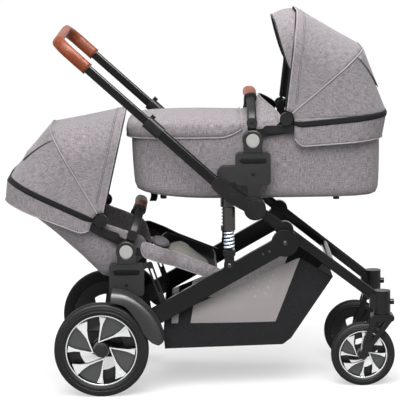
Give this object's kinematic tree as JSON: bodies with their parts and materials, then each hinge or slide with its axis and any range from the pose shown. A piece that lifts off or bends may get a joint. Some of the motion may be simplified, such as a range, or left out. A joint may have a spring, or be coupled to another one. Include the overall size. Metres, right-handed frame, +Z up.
{
  "type": "twin pram",
  "caption": "Inline twin pram: a hooded carrycot above a reclined hooded seat on a sprung folding chassis with swivel front wheels, basket and telescoping handle.",
  "frame": {"origin": "on the floor, midway along its length, on its plane of symmetry", "axes": "+X forward, away from the handle; +Y to its left; +Z up"},
  "size_m": [1.1974, 0.6, 1.1636],
  "materials": {
    "tyre": "matte black rubber",
    "rim": "machined faces over black",
    "spring": "bright",
    "steel": "satin",
    "button": "silver",
    "leather": "stitched cognac brown",
    "tube": "black anodised",
    "cloth": "grey melange weave",
    "padding": "soft quilted",
    "basket_cloth": "black with mesh sides",
    "strut": "satin grey",
    "moulding": "grained dark grey"
  },
  "bodies": {
    "chassis": {"front_legs": "tube", "knuckles": "moulding", "caster_housings": "moulding", "pivot_pins": "steel"},
    "rear_frame": {"swing_arms": "tube", "rear_axle": "steel", "fenders": "moulding", "seat_receivers": "moulding", "receiver_braces": "moulding", "basket": "basket_cloth", "seat_adapters": "moulding"},
    "brake": {"brake_pedal": "moulding"},
    "push_arms": {"push_arms": "tube", "arm_shoes": "moulding", "height_collars": "moulding"},
    "handle": {"handle_tube": "tube", "handle_grip": "leather"},
    "carrycot": {"cot_shell": "cloth", "cot_mattress": "padding", "cot_apron": "cloth", "cot_rails": "moulding", "cot_adapters": "moulding", "cot_feet": "moulding", "cot_hood_canopy": "cloth"},
    "cot_bar": {"cot_bar": "tube", "cot_bar_grip": "leather"},
    "cot_hood_middle": {"cot_hood_middle_bow": "moulding"},
    "cot_hood_front": {"cot_hood_front_bow": "moulding", "cot_hood_visor": "cloth"},
    "seat_unit": {"seat_shell": "cloth", "seat_pad": "padding", "seat_rails": "moulding", "seat_hood_canopy": "cloth"},
    "seat_bar": {"seat_bar": "tube", "seat_bar_grip": "leather"},
    "seat_hood_middle": {"seat_hood_middle_bow": "moulding"},
    "seat_hood_front": {"seat_hood_front_bow": "moulding"},
    "leg_rest": {"leg_rest": "cloth"},
    "strut_sleeve_right": {"strut_sleeve_right": "strut"},
    "strut_rod_right": {"strut_rod_right": "strut", "strut_spring_right": "spring"},
    "rear_wheel_right": {"rear_tyre_right": "tyre", "rear_rim_right": "rim"},
    "caster_right": {"caster_fork_right": "moulding"},
    "front_wheel_right": {"front_tyre_right": "tyre", "front_rim_right": "rim"},
    "caster_lock_right": {"caster_lock_right": "moulding"},
    "cot_button_right": {"cot_button_right": "button"},
    "seat_button_right": {"seat_button_right": "button"},
    "strut_sleeve_left": {"strut_sleeve_left": "strut"},
    "strut_rod_left": {"strut_rod_left": "strut", "strut_spring_left": "spring"},
    "rear_wheel_left": {"rear_tyre_left": "tyre", "rear_rim_left": "rim"},
    "caster_left": {"caster_fork_left": "moulding"},
    "front_wheel_left": {"front_tyre_left": "tyre", "front_rim_left": "rim"},
    "caster_lock_left": {"caster_lock_left": "moulding"},
    "cot_button_left": {"cot_button_left": "button"},
    "seat_button_left": {"seat_button_left": "button"}
  },
  "joints": [
    {"name": "suspension", "type": "hinge", "parent": "chassis", "child": "rear_frame", "pos_m": [0.25766, 0, 0.461], "axis": [0, 1, 0], "range_deg": [0, 1.5], "stiffness_Nm_per_rad": 900, "springref_deg": -11.46, "deforming": ["strut_spring_right", "strut_spring_left"]},
    {"name": "strut_top_right", "type": "hinge", "parent": "chassis", "child": "strut_sleeve_right", "pos_m": [0.08666, -0.235, 0.616], "axis": [0, 1, 0], "range_deg": [0, 0.6]},
    {"name": "strut_low_right", "type": "hinge", "parent": "rear_frame", "child": "strut_rod_right", "pos_m": [0.08666, -0.235, 0.395], "axis": [0, 1, 0], "range_deg": [-1.2, 0]},
    {"name": "rear_wheel_right", "type": "hinge", "parent": "rear_frame", "child": "rear_wheel_right", "pos_m": [-0.30834, -0.278, 0.145], "axis": [0, 1, 0], "continuous": true},
    {"name": "caster_swivel_right", "type": "hinge", "parent": "chassis", "child": "caster_right", "pos_m": [0.55966, -0.178, 0.24], "axis": [0, 0, 1], "continuous": true},
    {"name": "front_wheel_right", "type": "hinge", "parent": "caster_right", "child": "front_wheel_right", "pos_m": [0.49966, -0.178, 0.099], "axis": [0, 1, 0], "continuous": true},
    {"name": "caster_lock_right", "type": "slide", "parent": "chassis", "child": "caster_lock_right", "axis": [-1, 0, 0], "range_m": [0, 0.004], "stiffness_N_per_m": 600},
    {"name": "cot_button_right", "type": "slide", "parent": "carrycot", "child": "cot_button_right", "axis": [0, 1, 0], "range_m": [0, 0.003], "stiffness_N_per_m": 600},
    {"name": "seat_button_right", "type": "slide", "parent": "rear_frame", "child": "seat_button_right", "axis": [0, 1, 0], "range_m": [0, 0.003], "stiffness_N_per_m": 600},
    {"name": "strut_top_left", "type": "hinge", "parent": "chassis", "child": "strut_sleeve_left", "pos_m": [0.08666, 0.235, 0.616], "axis": [0, 1, 0], "range_deg": [0, 0.6]},
    {"name": "strut_low_left", "type": "hinge", "parent": "rear_frame", "child": "strut_rod_left", "pos_m": [0.08666, 0.235, 0.395], "axis": [0, 1, 0], "range_deg": [-1.2, 0]},
    {"name": "rear_wheel_left", "type": "hinge", "parent": "rear_frame", "child": "rear_wheel_left", "pos_m": [-0.30834, 0.278, 0.145], "axis": [0, 1, 0], "continuous": true},
    {"name": "caster_swivel_left", "type": "hinge", "parent": "chassis", "child": "caster_left", "pos_m": [0.55966, 0.178, 0.24], "axis": [0, 0, 1], "continuous": true},
    {"name": "front_wheel_left", "type": "hinge", "parent": "caster_left", "child": "front_wheel_left", "pos_m": [0.49966, 0.178, 0.099], "axis": [0, 1, 0], "continuous": true},
    {"name": "caster_lock_left", "type": "slide", "parent": "chassis", "child": "caster_lock_left", "axis": [-1, 0, 0], "range_m": [0, 0.004], "stiffness_N_per_m": 600},
    {"name": "cot_button_left", "type": "slide", "parent": "carrycot", "child": "cot_button_left", "axis": [0, -1, 0], "range_m": [0, 0.003], "stiffness_N_per_m": 600},
    {"name": "seat_button_left", "type": "slide", "parent": "rear_frame", "child": "seat_button_left", "axis": [0, -1, 0], "range_m": [0, 0.003], "stiffness_N_per_m": 600},
    {"name": "brake", "type": "hinge", "parent": "rear_frame", "child": "brake", "pos_m": [-0.30834, 0, 0.145], "axis": [0, -1, 0], "range_deg": [0, 18]},
    {"name": "fold", "type": "hinge", "parent": "chassis", "child": "push_arms", "pos_m": [0.16566, 0, 0.571], "axis": [0, 1, 0], "range_deg": [0, 165]},
    {"name": "handle_height", "type": "slide", "parent": "push_arms", "child": "handle", "axis": [-0.7385, 0, 0.6743], "range_m": [-0.1, 0.02]},
    {"name": "carrycot_lift", "type": "slide", "parent": "chassis", "child": "carrycot", "axis": [0, 0, 1], "range_m": [0, 0.3]},
    {"name": "cot_bar", "type": "hinge", "parent": "carrycot", "child": "cot_bar", "pos_m": [0.15966, 0, 0.83], "axis": [0, -1, 0], "range_deg": [0, 38]},
    {"name": "cot_hood", "type": "hinge", "parent": "carrycot", "child": "cot_hood_middle", "pos_m": [0.26466, 0, 0.841], "axis": [0, 1, 0], "range_deg": [0, 30], "deforming": ["cot_hood_canopy"]},
    {"name": "cot_hood_front", "type": "hinge", "parent": "cot_hood_middle", "child": "cot_hood_front", "pos_m": [0.26466, 0, 0.841], "axis": [0, 1, 0], "range_deg": [0, 35]},
    {"name": "seat_tilt", "type": "hinge", "parent": "rear_frame", "child": "seat_unit", "pos_m": [-0.22934, 0, 0.44], "axis": [0, -1, 0], "range_deg": [0, 18]},
    {"name": "seat_bar", "type": "hinge", "parent": "seat_unit", "child": "seat_bar", "pos_m": [-0.20968, 0, 0.48818], "axis": [0, 1, 0], "range_deg": [0, 45]},
    {"name": "seat_hood", "type": "hinge", "parent": "seat_unit", "child": "seat_hood_middle", "pos_m": [-0.30458, 0, 0.53443], "axis": [0, -1, 0], "range_deg": [0, 30], "deforming": ["seat_hood_canopy"]},
    {"name": "seat_hood_front", "type": "hinge", "parent": "seat_hood_middle", "child": "seat_hood_front", "pos_m": [-0.30458, 0, 0.53443], "axis": [0, -1, 0], "range_deg": [0, 35]},
    {"name": "leg_rest", "type": "hinge", "parent": "seat_unit", "child": "leg_rest", "pos_m": [-0.13904, 0, 0.42203], "axis": [0, 1, 0], "range_deg": [0, 35]}
  ],
  "couplings": [
    {"joint": "strut_top_right", "follows": "suspension", "ratio": 0.29864},
    {"joint": "strut_low_right", "follows": "suspension", "ratio": -0.70136},
    {"joint": "strut_top_left", "follows": "suspension", "ratio": 0.29864},
    {"joint": "strut_low_left", "follows": "suspension", "ratio": -0.70136},
    {"joint": "cot_hood_front", "follows": "cot_hood", "ratio": 1.15},
    {"joint": "seat_hood_front", "follows": "seat_hood", "ratio": 1.15}
  ]
}
